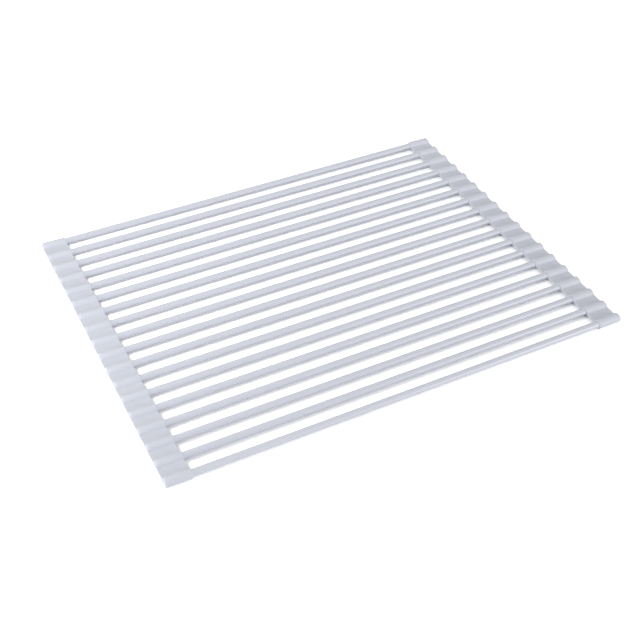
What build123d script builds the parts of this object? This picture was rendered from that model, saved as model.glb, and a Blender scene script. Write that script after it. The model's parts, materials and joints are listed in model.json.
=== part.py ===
from build123d import *
from math import atan, degrees, pi, sqrt, tan
import os

# Roll up dish drying rack: steel rods covered in silicone and held side by side by two silicone edge strips.
# The strips are thin webs between the sleeves that close the rods' ends, and the rack rolls up on its webs.
# It is cut into links, one for each rod, along the line where each web bends.
# Lengths are in millimetres. X runs along the rods, Y across them from front to back, and Z is up.
# The origin is the centre of the underside. Rods, links and hinges are numbered from the front.

# Rack
rod_count = 18
pitch = 20.0  # from one rod's centre to the next
rack_width = 444.0  # over the outer edges of both strips

# Rod
core_diameter = 4.0  # the steel
jacket_wall = 1.3  # the silicone around it

# Edge strip
strip_width = 23.4
sleeve_wall = 1.1  # outside the jacket
end_wall = 2.0  # silicone beyond the steel's end
end_round = 3.0  # on top of the sleeve's closed end
foot_depth = 0.3  # cut off below each sleeve, so that it stands on a flat
web_thickness = 1.8
web_drop = 0.5  # the web's middle lies this far below the rod's axis

# Roll: the rack winds up from its back end, either way
tightest_bend = 90.0  # degrees, at the web nearest the middle of the roll
layer_clearance = 1.4  # between the sleeves of one turn and the next
hinge_gap = 0.2  # between the two halves of a web, at rest

# Sizes that follow
core_radius = core_diameter / 2
jacket_radius = core_radius + jacket_wall
sleeve_radius = jacket_radius + sleeve_wall
core_length = rack_width - 2 * end_wall
rack_height = 2 * sleeve_radius - foot_depth
rod_height = sleeve_radius - foot_depth
layer_step = 2 * sleeve_radius + layer_clearance


def rod_place(rod):
    """How far back a rod's axis lies from the middle of the rack."""
    return (rod - (rod_count + 1) / 2) * pitch


def largest_bend(hinge):
    """How far a web bends each way when the rack is rolled up tight, in radians.

    The rods lie on a spiral around the back one that grows by one layer a turn.
    """
    first_radius = pitch / 2 / tan(tightest_bend * pi / 180 / 2)
    wound_length = (rod_count - 1 - hinge) * pitch
    return 2 * atan(pitch / 2 / sqrt(first_radius**2 + layer_step * wound_length / pi))


def bar(radius, length):
    """A round bar along X, centred on the origin."""
    return extrude(Plane.YZ * Circle(radius), amount=length / 2, both=True)


def half_web(side, hinge):
    """The corners of the half web on one side of a rod, from its top to its bottom.

    It ends in a point, bevelled by half the largest bend above and below, so that the two halves of a web
    close up when it is bent and don't overlap. The first and last rods have no web on their outer side.
    """
    top, bottom = web_thickness / 2 - web_drop, -web_thickness / 2 - web_drop
    if not 1 <= hinge < rod_count:
        return [(0, top), (0, bottom)]
    tip = side * (pitch / 2 - hinge_gap / 2)
    shoulder = tip - side * web_thickness / 2 * tan(largest_bend(hinge) / 2)
    return [(shoulder, top), (tip, -web_drop), (shoulder, bottom)]


def strip_segment(rod):
    """The right strip's sleeve and half webs on one rod, solid, with the rod's axis along X at the origin.

    It is the strip's cross-section along X, cut by its side view along Y.
    """
    corners = half_web(1, rod) + half_web(-1, rod - 1)[::-1]
    section = Circle(sleeve_radius) + make_face(Polyline(corners, close=True))
    side_view = Plane.XZ * Pos(0, foot_depth / 2) * Rectangle(strip_width, rack_height)
    side_view = fillet(side_view.vertices().group_by(Axis.X)[-1].sort_by(Axis.Z)[-1], end_round)
    segment = extrude(Plane.YZ * section, amount=strip_width / 2, both=True)
    segment &= extrude(side_view, amount=pitch, both=True)
    return Pos((rack_width - strip_width) / 2, 0, 0) * segment


def silicone_link(rod):
    """All the silicone on one rod: its jacket, its two sleeves and their half webs, around the steel's bore."""
    segment = strip_segment(rod)
    jacket = bar(jacket_radius, core_length)
    return jacket + segment + mirror(segment, about=Plane.YZ) - bar(core_radius, core_length)


os.makedirs("parts", exist_ok=True)
steel_rod = bar(core_radius, core_length)
for rod in range(1, rod_count + 1):
    place = Pos(0, rod_place(rod), rod_height)
    export_step(place * steel_rod, f"parts/steel_rod_{rod:02d}.step")
    export_step(place * silicone_link(rod), f"parts/silicone_link_{rod:02d}.step")

print(f"rack {rack_width} x {(rod_count - 1) * pitch + 2 * sleeve_radius} x {rack_height}")
for hinge in range(1, rod_count):
    print(f"web {hinge} bends {degrees(largest_bend(hinge)):.2f} degrees each way")
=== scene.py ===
import json
from math import acos, atan2, cos, hypot, pi, radians, sin, sqrt

import bmesh
import bpy
from bpy.props import FloatProperty, FloatVectorProperty, PointerProperty
from mathutils import Euler, Matrix, Vector

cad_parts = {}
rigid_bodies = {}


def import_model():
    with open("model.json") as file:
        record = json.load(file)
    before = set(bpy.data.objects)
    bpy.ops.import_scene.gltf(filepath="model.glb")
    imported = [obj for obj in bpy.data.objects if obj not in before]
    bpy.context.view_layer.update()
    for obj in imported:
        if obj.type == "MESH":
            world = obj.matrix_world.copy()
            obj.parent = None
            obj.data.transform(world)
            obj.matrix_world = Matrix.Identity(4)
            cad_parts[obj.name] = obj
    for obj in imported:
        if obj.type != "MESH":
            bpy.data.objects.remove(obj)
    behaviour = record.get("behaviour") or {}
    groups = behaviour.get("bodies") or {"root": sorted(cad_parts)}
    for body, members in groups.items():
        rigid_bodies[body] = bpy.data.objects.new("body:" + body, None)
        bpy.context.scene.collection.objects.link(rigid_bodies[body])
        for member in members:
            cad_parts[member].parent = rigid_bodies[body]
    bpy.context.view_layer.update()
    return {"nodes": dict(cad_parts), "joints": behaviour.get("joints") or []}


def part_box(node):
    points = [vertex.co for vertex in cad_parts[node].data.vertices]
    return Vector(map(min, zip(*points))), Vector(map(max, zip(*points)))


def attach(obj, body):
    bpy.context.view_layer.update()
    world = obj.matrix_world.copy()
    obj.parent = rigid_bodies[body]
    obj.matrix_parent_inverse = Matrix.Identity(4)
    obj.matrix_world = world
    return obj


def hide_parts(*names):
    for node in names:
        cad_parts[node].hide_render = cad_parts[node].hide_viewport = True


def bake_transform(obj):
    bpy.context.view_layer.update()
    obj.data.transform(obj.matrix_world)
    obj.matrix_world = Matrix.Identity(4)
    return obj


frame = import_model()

# A roll up dish drying rack: steel rods in silicone jackets, whose ends lie in the sleeves of two silicone
# edge strips. Between the sleeves each strip is a thin web, and the rack rolls up on its webs.
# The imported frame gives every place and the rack's outer sizes. Lengths are in metres.
# X runs along the rods, Y from front to back, and Z is up. Rods and webs are numbered from the front.

bl_info = {
    "name": "Roll Up Drying Rack",
    "version": (1, 0, 0),
    "blender": (4, 5, 0),
    "location": "3D View > Sidebar > Drying Rack",
    "description": "Models and finishes the silicone and the steel of a roll up drying rack",
    "category": "Object",
}

ROD_COUNT = sum(name.startswith("steel_rod_") for name in frame["nodes"])
SIDES = {"left": -1, "right": 1}

# Vertices nearer than the weld are merged, and edges that turn less than the angle look smooth
WELD = 1e-6
SMOOTH_ANGLE = radians(32)

# How many steps each curve is cut into
END_STEPS = 9  # a sleeve's closed end, above and below
EDGE_STEPS = 5  # the strip's outer edge
MOUTH_STEPS = 4  # the strip's inner edge
BARE_FLANK_STEPS = 44  # half a sleeve, on a side without a web
UNDER_STEPS = 10  # a sleeve from its foot to the hollow under its web
HOLLOW_STEPS = 6  # the hollow between a web and a sleeve
OVER_STEPS = 24  # a sleeve from the hollow over its web to its top
JACKET_STEPS = 96  # round a jacket
WEB_STEPS = 24  # along a web, from seam to seam

# How the silicone varies. A scale is how many patches there are in a metre
CLOUD_SCALE = 11.0  # wide patches of uneven colour
BLOOM_SCALE = 140.0  # small ones, where the gloss is uneven too
CLOUD_SHARE = 0.7  # of the wide patches in the colour
GLOSS_DRIFT = 0.06  # how far the roughness wanders, either way
LINE_STRETCH = 60  # how much longer than wide the lines on the jackets are
LINE_DEPTH_SHARE = 0.6  # how deep they are, against the grain of the strips

# How the steel varies
STEEL_LINES = (30.0, 4000.0, 4000.0)  # in a metre, along and across the rods
STEEL_LINE_DEPTH = 0.00001
STEEL_DRIFT = 0.1  # how far its colour wanders, either way
STEEL_ROUGHNESS = 0.28  # at its smoothest
STEEL_GLOSS_DRIFT = 0.14  # how much rougher it gets

# The camera's sensor, in millimetres
SENSOR_WIDTH = 36.0

# The sockets of a Mix node for colours
MIX_SHARE, MIX_FIRST, MIX_SECOND, MIX_RESULT = 0, 6, 7, 2


class RackForm(bpy.types.PropertyGroup):
    """The sizes that the frame doesn't give."""

    strip_width: FloatProperty(
        name="Strip Width", description="Of each edge strip, along the rods",
        default=0.0234, min=0.005, unit="LENGTH", precision=4)
    jacket_diameter: FloatProperty(
        name="Jacket Diameter", description="Over the silicone on a rod",
        default=0.0066, min=0.005, unit="LENGTH", precision=4)
    web_thickness: FloatProperty(
        name="Web Thickness", description="Of the strip between two sleeves",
        default=0.0018, min=0.0005, unit="LENGTH", precision=4)
    web_drop: FloatProperty(
        name="Web Drop", description="How far the middle of a web lies below the rods' axes",
        default=0.0005, unit="LENGTH", precision=4)
    web_bend: FloatProperty(
        name="Web Bend", description="How much of a web takes part in its bend",
        default=0.007, min=0.001, unit="LENGTH", precision=4)
    root_radius: FloatProperty(
        name="Root Radius", description="Of the hollow between a web and a sleeve",
        default=0.0007, min=0.0001, unit="LENGTH", precision=4)
    root_flat: FloatProperty(
        name="Root Flat", description="Of the web beside that hollow, which belongs to the sleeve's piece",
        default=0.0002, min=0.00005, unit="LENGTH", precision=5)
    end_round: FloatProperty(
        name="End Round", description="Above and below, of a sleeve's closed outer end",
        default=0.0025, min=0.0002, unit="LENGTH", precision=4)
    outer_edge: FloatProperty(
        name="Outer Edge", description="Rounding of the strip's outer edge, all round",
        default=0.0007, min=0.0001, max=0.0008, unit="LENGTH", precision=4)
    mouth_round: FloatProperty(
        name="Mouth Round", description="Of the strip's inner edge, where the rods go in",
        default=0.0003, min=0.00005, max=0.0008, unit="LENGTH", precision=5)
    mouth_gap: FloatProperty(
        name="Mouth Gap", description="Between a jacket and the mouth of its sleeve",
        default=0.00002, min=0.0, unit="LENGTH", precision=5)
    mouth_depth: FloatProperty(
        name="Mouth Depth", description="How deep that gap goes into the sleeve",
        default=0.0015, min=0.0005, unit="LENGTH", precision=4)


class RackFinish(bpy.types.PropertyGroup):
    """The colours and surfaces of the silicone and the steel."""

    silicone: FloatVectorProperty(
        name="Silicone", description="Colour of the strips and jackets",
        default=(0.672, 0.692, 0.762, 1.0), size=4, min=0.0, max=1.0, subtype="COLOR")
    colour_drift: FloatProperty(
        name="Colour Drift", description="How far the silicone's colour wanders over the rack",
        default=0.035, min=0.0, max=0.5, subtype="FACTOR")
    strip_roughness: FloatProperty(
        name="Strip Roughness", description="Of the moulded strips",
        default=0.56, min=0.0, max=1.0, subtype="FACTOR")
    jacket_roughness: FloatProperty(
        name="Jacket Roughness", description="Of the drawn jackets",
        default=0.36, min=0.0, max=1.0, subtype="FACTOR")
    grain_size: FloatProperty(
        name="Grain Size", description="From one grain of the moulded surface to the next",
        default=0.0004, min=0.00005, unit="LENGTH", precision=5)
    grain_depth: FloatProperty(
        name="Grain Depth", description="Of the moulded surface",
        default=0.00002, min=0.0, unit="LENGTH", precision=6)
    translucency: FloatProperty(
        name="Translucency", description="Share of the light that scatters under the silicone's surface",
        default=0.12, min=0.0, max=1.0, subtype="FACTOR")
    scatter_depth: FloatProperty(
        name="Scatter Depth", description="How far that light goes under the surface",
        default=0.0008, min=0.0, unit="LENGTH", precision=5)
    steel: FloatVectorProperty(
        name="Steel", description="Colour of the rods inside the jackets",
        default=(0.56, 0.57, 0.58, 1.0), size=4, min=0.0, max=1.0, subtype="COLOR")


class RackStudio(bpy.types.PropertyGroup):
    """The camera, the lamps and the floor."""

    camera_place: FloatVectorProperty(
        name="Camera Place", description="Where the camera stands",
        default=(-0.3642, -0.7208, 0.6560), subtype="TRANSLATION")
    camera_heading: FloatProperty(
        name="Heading", description="Which way the camera looks, turned from the rack's back",
        default=radians(-26.84), subtype="ANGLE")
    camera_dip: FloatProperty(
        name="Dip", description="How far the camera looks down",
        default=radians(40.97), subtype="ANGLE")
    camera_roll: FloatProperty(
        name="Roll", description="How far the camera leans about its own line of sight",
        default=radians(0.13), subtype="ANGLE")
    lens: FloatProperty(
        name="Lens", description="Focal length, on a sensor of 36 mm",
        default=61.01, min=1.0, subtype="DISTANCE_CAMERA")
    key_place: FloatVectorProperty(
        name="Key Place", description="Where the main lamp stands, above the left strip",
        default=(-0.45, -0.02, 0.45), subtype="TRANSLATION")
    key_size: FloatProperty(
        name="Key Size", description="Of each side of the main lamp",
        default=0.09, min=0.01, unit="LENGTH")
    key_power: FloatProperty(
        name="Key Power", description="Of the main lamp",
        default=1.0, min=0.0, unit="POWER")
    fill_place: FloatVectorProperty(
        name="Fill Place", description="Where the second lamp stands, low at the front right",
        default=(1.42, -2.1, 0.67), subtype="TRANSLATION")
    fill_size: FloatProperty(
        name="Fill Size", description="Of each side of the second lamp",
        default=0.56, min=0.01, unit="LENGTH")
    fill_power: FloatProperty(
        name="Fill Power", description="Of the second lamp",
        default=25.5, min=0.0, unit="POWER")
    back_place: FloatVectorProperty(
        name="Back Place", description="Where the third lamp stands, above and behind the back rods",
        default=(0.05, 0.5, 0.45), subtype="TRANSLATION")
    back_size: FloatProperty(
        name="Back Size", description="Of each side of the third lamp",
        default=0.25, min=0.01, unit="LENGTH")
    back_power: FloatProperty(
        name="Back Power", description="Of the third lamp",
        default=0.45, min=0.0, unit="POWER")
    rim_place: FloatVectorProperty(
        name="Rim Place", description="Where the fourth lamp stands, far left, for the edges at the right",
        default=(-2.4, 0.0, 0.45), subtype="TRANSLATION")
    rim_size: FloatProperty(
        name="Rim Size", description="Of each side of the fourth lamp",
        default=0.6, min=0.01, unit="LENGTH")
    rim_power: FloatProperty(
        name="Rim Power", description="Of the fourth lamp",
        default=16.0, min=0.0, unit="POWER")
    room_light: FloatProperty(
        name="Room Light", description="How strong the even light from all round is",
        default=0.47, min=0.0)
    floor_size: FloatProperty(
        name="Floor Size", description="From the middle of the floor to each of its edges",
        default=6.0, min=0.5, unit="LENGTH")
    floor_gap: FloatProperty(
        name="Floor Gap", description="How far the floor lies below the rack",
        default=0.0001, min=0.0, unit="LENGTH", precision=5)
    floor_tone: FloatProperty(
        name="Floor Tone", description="Of the light that the floor throws back at the rack",
        default=0.85, min=0.0, max=1.0, subtype="FACTOR")
    floor_seen: FloatProperty(
        name="Floor Seen", description="How light the floor's colour is to the camera, at the rack",
        default=1.8, min=0.0)
    floor_far: FloatProperty(
        name="Floor Far", description="How light it is well away from the rack, where the lamps hardly reach",
        default=2.4, min=0.0)
    floor_near: FloatProperty(
        name="Floor Near", description="How far from the rack's middle the floor begins to get lighter",
        default=0.3, min=0.0, unit="LENGTH")
    floor_reach: FloatProperty(
        name="Floor Reach", description="How far from the rack's middle it is at its lightest",
        default=1.2, min=0.1, unit="LENGTH")


class Socket:
    """An output of a shader node. Each sum or product with it adds a Math node."""

    def __init__(self, shading, socket):
        self.shading = shading
        self.socket = socket

    def __add__(self, other):
        return self.shading.node("ShaderNodeMath", {"operation": "ADD"}, {0: self, 1: other})

    def __mul__(self, other):
        return self.shading.node("ShaderNodeMath", {"operation": "MULTIPLY"}, {0: self, 1: other})

    __radd__ = __add__
    __rmul__ = __mul__


class Shading:
    """The shader nodes of a material or a world."""

    def __init__(self, owner):
        owner.use_nodes = True
        self.owner = owner
        self.tree = owner.node_tree
        self.tree.nodes.clear()

    def node(self, kind, settings=None, sockets=None, output=0):
        """Adds a node with its settings and then the values or links of its sockets.

        It gives one of the node's outputs, if it has any.
        """
        node = self.tree.nodes.new(kind)
        for name, value in (settings or {}).items():
            setattr(node, name, value)
        for name, value in (sockets or {}).items():
            if isinstance(value, Socket):
                self.tree.links.new(value.socket, node.inputs[name])
            else:
                node.inputs[name].default_value = value
        return Socket(self, node.outputs[output]) if node.outputs else None

    def noise(self, place, scale, detail=2.0):
        return self.node("ShaderNodeTexNoise", {}, {"Vector": place, "Scale": scale, "Detail": detail}, "Fac")

    def stretched(self, place, scale):
        """A place on the object, scaled differently along each axis."""
        return self.node("ShaderNodeMapping", {}, {"Vector": place, "Scale": scale})

    def mix(self, share, first, second):
        """A colour between two others, with a share of the second."""
        sockets = {MIX_SHARE: share, MIX_FIRST: first, MIX_SECOND: second}
        return self.node("ShaderNodeMix", {"data_type": "RGBA"}, sockets, MIX_RESULT)

    def bump(self, height):
        """The normal of a surface with a height in metres."""
        return self.node("ShaderNodeBump", {}, {"Strength": 1.0, "Distance": 1.0, "Height": height})


def shade(colour, factor):
    """A colour made darker or lighter."""
    return [min(part * factor, 1.0) for part in colour[:3]] + [1.0]


def grey(level):
    return (level, level, level, 1.0)


def silicone(name, finish, roughness, relief):
    """Matt silicone with a slightly uneven colour and gloss. relief gives the surface's height in metres."""
    shading = Shading(bpy.data.materials.new(name))
    place = shading.node("ShaderNodeTexCoord", output="Object")
    clouds = shading.noise(place, CLOUD_SCALE, detail=3.0)
    bloom = shading.noise(place, BLOOM_SCALE, detail=4.0)
    patches = clouds * CLOUD_SHARE + bloom * (1 - CLOUD_SHARE)
    drift = finish.colour_drift
    colour = shading.mix(patches, shade(finish.silicone, 1 - drift), shade(finish.silicone, 1 + drift))
    surface = shading.node("ShaderNodeBsdfPrincipled", {}, {
        "Base Color": colour,
        "Roughness": roughness - GLOSS_DRIFT + bloom * (2 * GLOSS_DRIFT),
        "Normal": shading.bump(relief(shading, place)),
        "Subsurface Weight": finish.translucency,
        "Subsurface Radius": (1.0, 1.0, 1.0),
        "Subsurface Scale": finish.scatter_depth,
    })
    shading.node("ShaderNodeOutputMaterial", {}, {"Surface": surface})
    return shading.owner


def strip_silicone(finish):
    """The moulded strips, with the fine grain of their mould."""
    def relief(shading, place):
        grain = shading.noise(place, 1 / finish.grain_size, detail=3.0)
        return grain * finish.grain_depth

    return silicone("strip_silicone", finish, finish.strip_roughness, relief)


def jacket_silicone(finish):
    """The drawn jackets, with faint lines along the rods."""
    def relief(shading, place):
        across = 1 / finish.grain_size
        lines = shading.noise(shading.stretched(place, (across / LINE_STRETCH, across, across)), 1.0)
        return lines * (finish.grain_depth * LINE_DEPTH_SHARE)

    return silicone("jacket_silicone", finish, finish.jacket_roughness, relief)


def drawn_steel(finish):
    """The steel of the rods, drawn along their length."""
    shading = Shading(bpy.data.materials.new("drawn_steel"))
    place = shading.node("ShaderNodeTexCoord", output="Object")
    lines = shading.noise(shading.stretched(place, STEEL_LINES), 1.0, detail=3.0)
    colour = shading.mix(lines, shade(finish.steel, 1 - STEEL_DRIFT), shade(finish.steel, 1 + STEEL_DRIFT))
    surface = shading.node("ShaderNodeBsdfPrincipled", {}, {
        "Base Color": colour,
        "Metallic": 1.0,
        "Roughness": STEEL_ROUGHNESS + lines * STEEL_GLOSS_DRIFT,
        "Normal": shading.bump(lines * STEEL_LINE_DEPTH),
    })
    shading.node("ShaderNodeOutputMaterial", {}, {"Surface": surface})
    return shading.owner


def numbered(name, number):
    return f"{name}_{number:02d}"


def rod_axis(rod):
    """The middle of a rod's axis."""
    low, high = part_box(numbered("steel_rod", rod))
    return (low + high) / 2


def reach(radius, height):
    """How far out a circle reaches, at a height above or below its middle."""
    return sqrt(radius ** 2 - height ** 2)


class RackSizes:
    """The rack's sizes from the frame and the form. Heights are from the rods' axes.

    The seam, where a sleeve's piece meets a web's, is given as its distance from the sleeve's axis.
    """

    def __init__(self, form):
        low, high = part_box(numbered("silicone_link", 1))
        axis = rod_axis(1)
        self.outer_end = high.x
        self.inner_end = high.x - form.strip_width
        self.foot = low.z - axis.z
        self.sleeve_radius = high.z - axis.z
        self.jacket_radius = form.jacket_diameter / 2
        self.web_middle = -form.web_drop
        self.half_web = form.web_thickness / 2
        root = form.root_radius
        web_top = self.web_middle + self.half_web
        self.seam = reach(self.sleeve_radius + root, web_top + root) + form.root_flat


def round_depths(radius, steps):
    """Depths below an end with a round edge, at even angles round that edge, from the end itself."""
    return [radius * (1 - cos(pi / 2 * step / steps)) for step in range(steps + 1)]


def rounded(half, radius, depth):
    """What is left of a half thickness at a depth below an end with a round edge."""
    return half - radius + reach(radius, max(radius - depth, 0))


def strip_stations(sizes, form):
    """The strip along a rod, from its outer end to its inner one.

    Each station is its x, the sleeve's radius, the share left of its height above and below the web, and half
    the web's thickness. The strip's edge is rounded all round at both ends, and its sleeves are rounded above
    and below at the outer one too.
    """
    stations = []
    above_web = sizes.sleeve_radius - sizes.web_middle - sizes.half_web
    outer_depths = set(round_depths(form.end_round, END_STEPS) + round_depths(form.outer_edge, EDGE_STEPS))
    for depth in sorted(outer_depths):
        radius = rounded(sizes.sleeve_radius, form.outer_edge, depth)
        share = rounded(above_web, form.end_round, depth) / above_web
        half_web = rounded(sizes.half_web, form.outer_edge, depth)
        stations.append((sizes.outer_end - depth, radius, share, half_web))
    for depth in reversed(round_depths(form.mouth_round, MOUTH_STEPS)):
        radius = rounded(sizes.sleeve_radius, form.mouth_round, depth)
        half_web = rounded(sizes.half_web, form.mouth_round, depth)
        stations.append((sizes.inner_end + depth, radius, 1, half_web))
    return stations


def arc(centre, radius, start, end, steps):
    """Points on an arc in the YZ plane, from one angle to another."""
    angles = [start + (end - start) * step / steps for step in range(steps + 1)]
    return [(centre[0] + radius * cos(angle), centre[1] + radius * sin(angle)) for angle in angles]


def sleeve_flank(sizes, form, radius, half_web, has_web):
    """Half of a sleeve's outline, on the side of +Y, from the edge of its foot to its top.

    Where there is a web, the outline goes out along the web's underside to the seam and back along its top.
    At a rounded end the sleeve can be too thin to reach the foot, and then it starts at its lowest point.
    """
    axis = (0, 0)
    foot_angle = -pi / 2 + acos(min(-sizes.foot / radius, 1))
    if not has_web:
        return arc(axis, radius, foot_angle, pi / 2, BARE_FLANK_STEPS)
    root = form.root_radius
    low, high = sizes.web_middle - half_web, sizes.web_middle + half_web
    under = (reach(radius + root, low - root), low - root)
    over = (reach(radius + root, high + root), high + root)
    under_angle, over_angle = atan2(under[1], under[0]), atan2(over[1], over[0])
    return (
        arc(axis, radius, foot_angle, under_angle, UNDER_STEPS)
        + arc(under, root, under_angle + pi, pi / 2, HOLLOW_STEPS)
        + [(sizes.seam, low), (sizes.seam, high)]
        + arc(over, root, -pi / 2, over_angle - pi, HOLLOW_STEPS)
        + arc(axis, radius, over_angle, pi / 2, OVER_STEPS)
    )


def sleeve_outline(sizes, form, rod, radius, share, half_web):
    """A sleeve's whole outline about its rod's axis, with only a share of its height above and below the web.

    The first and last rods have a web on one side only.
    """
    back = sleeve_flank(sizes, form, radius, half_web, rod < ROD_COUNT)
    front = sleeve_flank(sizes, form, radius, half_web, rod > 1)
    low, high = sizes.web_middle - half_web, sizes.web_middle + half_web
    outline = []
    for y, z in back + [(-y, z) for y, z in reversed(front)]:
        level = min(max(z, low), high)
        outline.append((y, level + (z - level) * share))
    return outline


def on_circle(outline, radius):
    """A circle with a point towards each point of an outline."""
    return [(y * radius / hypot(y, z), z * radius / hypot(y, z)) for y, z in outline]


def loft(sections):
    """A closed mesh through sections of as many points each.

    The first section's face is extruded to the others in turn.
    """
    mesh = bmesh.new()
    corner = mesh.verts.layers.int.new("corner")
    for number, point in enumerate(sections[0]):
        mesh.verts.new(point)[corner] = number
    face = mesh.faces.new(mesh.verts)
    for section in sections[1:]:
        made = bmesh.ops.extrude_face_region(mesh, geom=[face, *face.edges])["geom"]
        face = next(item for item in made if isinstance(item, bmesh.types.BMFace))
        for vertex in face.verts:
            vertex.co = section[vertex[corner]]
    return mesh


def finished(name, mesh, material):
    """A bmesh as an object, with its doubles merged, its faces turned outwards and its curves smooth."""
    bmesh.ops.remove_doubles(mesh, verts=mesh.verts, dist=WELD)
    bmesh.ops.recalc_face_normals(mesh, faces=mesh.faces)
    data = bpy.data.meshes.new(name)
    mesh.to_mesh(data)
    mesh.free()
    data.shade_smooth()
    data.set_sharp_from_angle(angle=SMOOTH_ANGLE)
    data.materials.append(material)
    piece = bpy.data.objects.new(name, data)
    bpy.context.scene.collection.objects.link(piece)
    return piece


def material_named(name, make):
    """A material that several pieces share, made by the first of them."""
    return bpy.data.materials.get(name) or make(bpy.context.scene.rack_finish)


def rod_jacket(rod, sizes, form):
    """The silicone around one rod. It ends inside the rod's two sleeves, twice as deep as their mouths."""
    length = 2 * (sizes.inner_end + 2 * form.mouth_depth)
    radius = sizes.jacket_radius
    mesh = bmesh.new()
    bmesh.ops.create_cone(
        mesh, cap_ends=True, segments=JACKET_STEPS, radius1=radius, radius2=radius, depth=length)
    along_x = Matrix.Rotation(pi / 2, 4, "Y")
    bmesh.ops.transform(mesh, matrix=Matrix.Translation(rod_axis(rod)) @ along_x, verts=mesh.verts)
    piece = finished(numbered("rod_jacket", rod), mesh, material_named("jacket_silicone", jacket_silicone))
    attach(piece, numbered("link", rod))
    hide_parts(numbered("silicone_link", rod))


def strip_sleeve(rod, side, sizes, form):
    """One strip's sleeve on one rod, with the roots of its webs and the mouth around the jacket."""
    axis = rod_axis(rod)

    def placed(x, outline):
        return [Vector((SIDES[side] * x, axis.y + y, axis.z + z)) for y, z in outline]

    sections = []
    for x, radius, share, half_web in strip_stations(sizes, form):
        outline = sleeve_outline(sizes, form, rod, radius, share, half_web)
        sections.append(placed(x, outline))
    # The mouth goes in from the last outline, at the strip's inner edge
    mouth = on_circle(outline, sizes.jacket_radius + form.mouth_gap)
    sections.append(placed(sizes.inner_end, mouth))
    sections.append(placed(sizes.inner_end + form.mouth_depth, mouth))
    name = numbered(f"{side}_sleeve", rod)
    piece = finished(name, loft(sections), material_named("strip_silicone", strip_silicone))
    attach(piece, numbered("link", rod))
    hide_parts(numbered("silicone_link", rod))


def strip_web(joint, side, sizes, form):
    """One strip's web over one hinge, from seam to seam."""
    # A link has the number of its rod
    front, back = int(joint["parent"][-2:]), int(joint["child"][-2:])
    middle = rod_axis(front).z + sizes.web_middle
    stations = strip_stations(sizes, form)
    outline = [(x, middle + half_web) for x, _, _, half_web in stations]
    outline += [(x, middle - half_web) for x, _, _, half_web in reversed(stations)]
    start, end = rod_axis(front).y + sizes.seam, rod_axis(back).y - sizes.seam
    sections = []
    for step in range(WEB_STEPS + 1):
        y = start + (end - start) * step / WEB_STEPS
        sections.append([Vector((SIDES[side] * x, y, z)) for x, z in outline])
    name = numbered(f"{side}_web", front)
    piece = finished(name, loft(sections), material_named("strip_silicone", strip_silicone))
    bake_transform(piece)
    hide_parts(numbered("silicone_link", front), numbered("silicone_link", back))


class RACK_OT_rod_jackets(bpy.types.Operator):
    """Models the silicone jackets of the rods"""

    bl_idname = "rack.rod_jackets"
    bl_label = "Rod Jackets"

    def execute(self, context):
        form = context.scene.rack_form
        sizes = RackSizes(form)
        for rod in range(1, ROD_COUNT + 1):
            rod_jacket(rod, sizes, form)
        return {"FINISHED"}


class RACK_OT_strip_sleeves(bpy.types.Operator):
    """Models the sleeves of both edge strips"""

    bl_idname = "rack.strip_sleeves"
    bl_label = "Strip Sleeves"

    def execute(self, context):
        form = context.scene.rack_form
        sizes = RackSizes(form)
        for rod in range(1, ROD_COUNT + 1):
            for side in SIDES:
                strip_sleeve(rod, side, sizes, form)
        return {"FINISHED"}


class RACK_OT_strip_webs(bpy.types.Operator):
    """Models the webs of both edge strips"""

    bl_idname = "rack.strip_webs"
    bl_label = "Strip Webs"

    def execute(self, context):
        form = context.scene.rack_form
        sizes = RackSizes(form)
        for joint in frame["joints"]:
            for side in SIDES:
                strip_web(joint, side, sizes, form)
        return {"FINISHED"}


class RACK_OT_steel_rods(bpy.types.Operator):
    """Finishes the steel rods inside the jackets"""

    bl_idname = "rack.steel_rods"
    bl_label = "Steel Rods"

    def execute(self, context):
        steel = material_named("drawn_steel", drawn_steel)
        for rod in range(1, ROD_COUNT + 1):
            node = frame["nodes"][numbered("steel_rod", rod)]
            for slot in node.material_slots:
                slot.material = steel
        return {"FINISHED"}


def soft_lamp(name, place, size, power):
    """A square lamp that shines at the middle of the rack."""
    lamp = bpy.data.lights.new(name, "AREA")
    lamp.size = size
    lamp.energy = power
    holder = bpy.data.objects.new(name, lamp)
    holder.location = place
    holder.rotation_euler = (-Vector(place)).to_track_quat("-Z", "Y").to_euler()
    bpy.context.scene.collection.objects.link(holder)


def seen_directly(shading):
    """1 for light that the camera sees straight, in a gloss or through glass, and otherwise 0."""
    path = "ShaderNodeLightPath"
    glossy = shading.node(path, output="Is Glossy Ray")
    through = shading.node(path, output="Is Transmission Ray")
    straight = shading.node(path, output="Is Camera Ray")
    return shading.node(
        "ShaderNodeMath", {"operation": "ADD", "use_clamp": True}, {0: straight, 1: glossy + through})


def studio_floor(studio):
    """A pale floor just under the rack. It looks white to the camera, and keeps the rack's shadow."""
    mesh = bmesh.new()
    bmesh.ops.create_grid(mesh, x_segments=1, y_segments=1, size=studio.floor_size)
    bmesh.ops.translate(mesh, vec=(0, 0, -studio.floor_gap), verts=mesh.verts)
    shading = Shading(bpy.data.materials.new("studio_floor"))
    place = shading.node("ShaderNodeTexCoord", output="Object")
    away = shading.node("ShaderNodeVectorMath", {"operation": "LENGTH"}, {0: place}, "Value")
    share = shading.node("ShaderNodeMapRange", {}, {
        "Value": away, "From Min": studio.floor_near, "From Max": studio.floor_reach})
    seen = shading.mix(share, grey(studio.floor_seen), grey(studio.floor_far))
    colour = shading.mix(seen_directly(shading), grey(studio.floor_tone), seen)
    surface = shading.node("ShaderNodeBsdfDiffuse", {}, {"Color": colour})
    shading.node("ShaderNodeOutputMaterial", {}, {"Surface": surface})
    finished("studio_floor", mesh, shading.owner)


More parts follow.
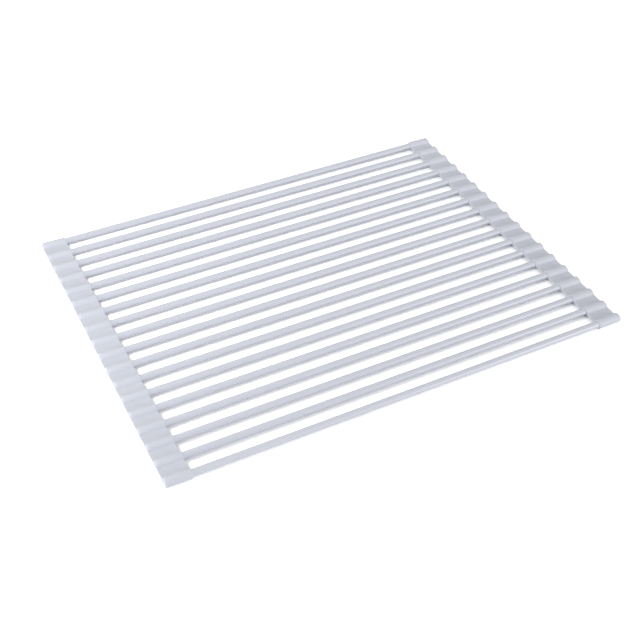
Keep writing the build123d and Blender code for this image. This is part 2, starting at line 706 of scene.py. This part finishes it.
def studio_room(studio):
    """Even light from all round, which looks white to the camera."""
    room = bpy.data.worlds.new("studio_room")
    shading = Shading(room)
    light = shading.node("ShaderNodeBackground", {}, {"Color": grey(1.0), "Strength": studio.room_light})
    white = shading.node("ShaderNodeBackground", {}, {"Color": grey(1.0), "Strength": 1.0})
    mixed = shading.node("ShaderNodeMixShader", {}, {0: seen_directly(shading), 1: light, 2: white})
    shading.node("ShaderNodeOutputWorld", {}, {"Surface": mixed})
    bpy.context.scene.world = room


def studio_camera(studio):
    """The camera, at the photograph's place and angle."""
    camera = bpy.data.cameras.new("studio_camera")
    camera.sensor_width = SENSOR_WIDTH
    camera.lens = studio.lens
    holder = bpy.data.objects.new("studio_camera", camera)
    turned = Euler((pi / 2 - studio.camera_dip, 0, studio.camera_heading)).to_matrix().to_4x4()
    leaned = Matrix.Rotation(studio.camera_roll, 4, "Z")
    holder.matrix_world = Matrix.Translation(Vector(studio.camera_place)) @ turned @ leaned
    bpy.context.scene.collection.objects.link(holder)
    bpy.context.scene.camera = holder


class RACK_OT_studio(bpy.types.Operator):
    """Sets up the floor, the light and the camera"""

    bl_idname = "rack.studio"
    bl_label = "Studio"

    def execute(self, context):
        studio = context.scene.rack_studio
        context.scene.view_settings.view_transform = "Standard"
        studio_floor(studio)
        studio_room(studio)
        soft_lamp("key_lamp", studio.key_place, studio.key_size, studio.key_power)
        soft_lamp("fill_lamp", studio.fill_place, studio.fill_size, studio.fill_power)
        soft_lamp("back_lamp", studio.back_place, studio.back_size, studio.back_power)
        soft_lamp("rim_lamp", studio.rim_place, studio.rim_size, studio.rim_power)
        studio_camera(studio)
        return {"FINISHED"}


class RACK_PT_panel(bpy.types.Panel):
    """Lists the settings and the steps"""

    bl_idname = "RACK_PT_panel"
    bl_label = "Drying Rack"
    bl_space_type = "VIEW_3D"
    bl_region_type = "UI"
    bl_category = "Drying Rack"

    def draw(self, context):
        for group in (context.scene.rack_form, context.scene.rack_finish, context.scene.rack_studio):
            column = self.layout.column(align=True)
            for name in group.__annotations__:
                column.prop(group, name)
        for step in STEPS:
            self.layout.operator(step.bl_idname)


STEPS = (RACK_OT_rod_jackets, RACK_OT_strip_sleeves, RACK_OT_strip_webs, RACK_OT_steel_rods, RACK_OT_studio)
CLASSES = (RackForm, RackFinish, RackStudio, *STEPS, RACK_PT_panel)


def register():
    for each in CLASSES:
        bpy.utils.register_class(each)
    bpy.types.Scene.rack_form = PointerProperty(type=RackForm)
    bpy.types.Scene.rack_finish = PointerProperty(type=RackFinish)
    bpy.types.Scene.rack_studio = PointerProperty(type=RackStudio)


def unregister():
    del bpy.types.Scene.rack_form, bpy.types.Scene.rack_finish, bpy.types.Scene.rack_studio
    for each in reversed(CLASSES):
        bpy.utils.unregister_class(each)


def main():
    register()
    bpy.ops.rack.rod_jackets()
    bpy.ops.rack.strip_sleeves()
    bpy.ops.rack.strip_webs()
    bpy.ops.rack.steel_rods()
    bpy.ops.rack.studio()


if __name__ == "__main__":
    main()
